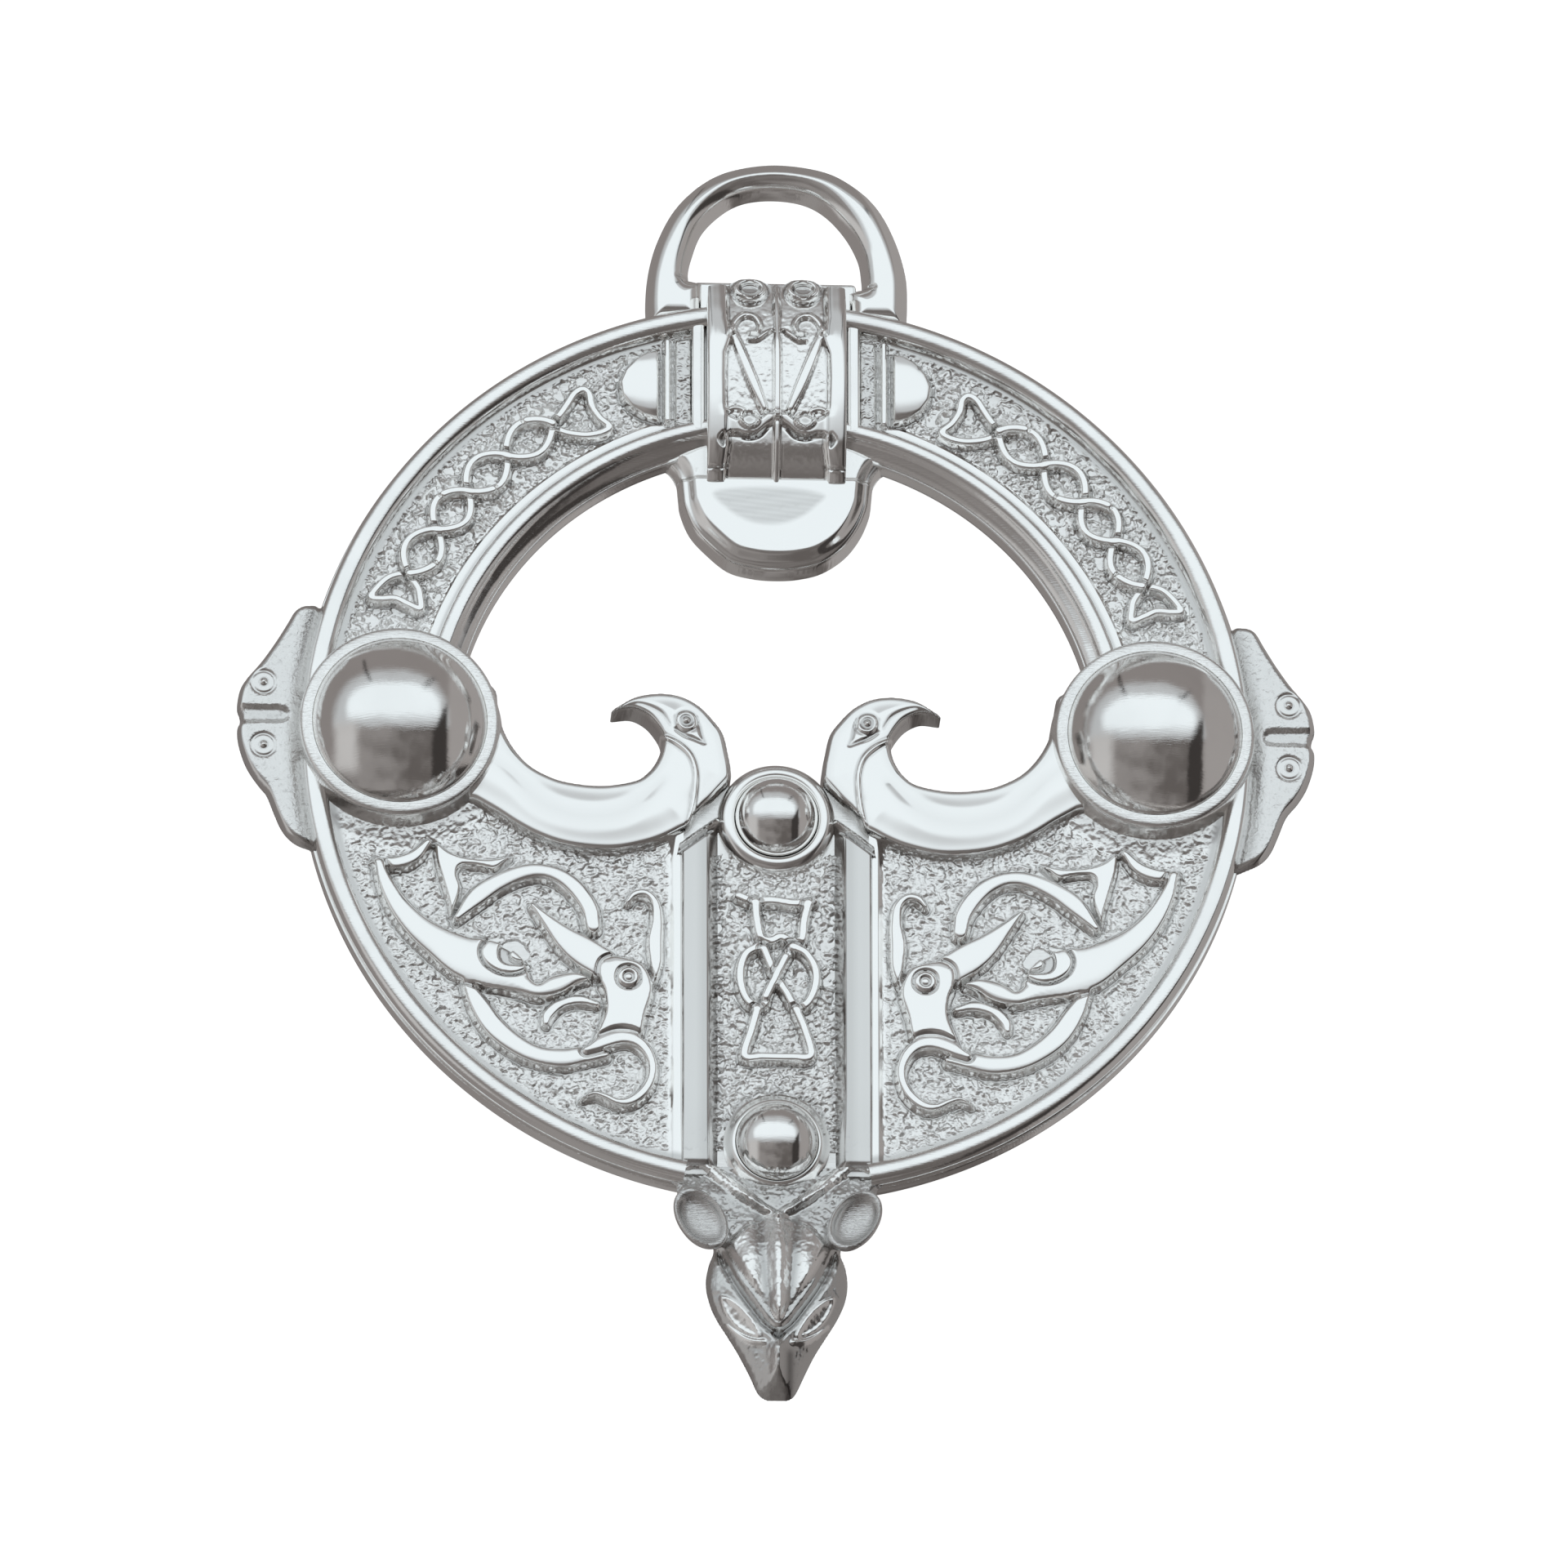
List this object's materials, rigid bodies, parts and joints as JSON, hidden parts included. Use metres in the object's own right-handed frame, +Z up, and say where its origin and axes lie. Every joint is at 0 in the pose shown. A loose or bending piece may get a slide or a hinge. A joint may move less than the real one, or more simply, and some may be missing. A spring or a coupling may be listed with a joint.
{
  "type": "celtic brooch",
  "caption": "Cast silver ring brooch with a pierced crescent, raised interlace, polished domes, an animal mask, a top loop and a plain pin on its back.",
  "frame": {"origin": "middle of the brooch's overall box, on the surface that it lies on", "axes": "+Z up out of the face, +Y to the loop at the top, +X to the right as the face is seen"},
  "size_m": [0.077, 0.0936, 0.0123],
  "materials": {
    "cast_silver": "cast silver, grained grounds with polished relief and rims",
    "polished_silver": "mirror polished silver",
    "pin_silver": "plain polished silver"
  },
  "bodies": {
    "root": {"casting": "cast_silver", "strap": "cast_silver", "boss_left": "polished_silver", "boss_right": "polished_silver", "boss_upper": "polished_silver", "boss_lower": "polished_silver", "back_pin": "pin_silver"}
  },
  "joints": []
}
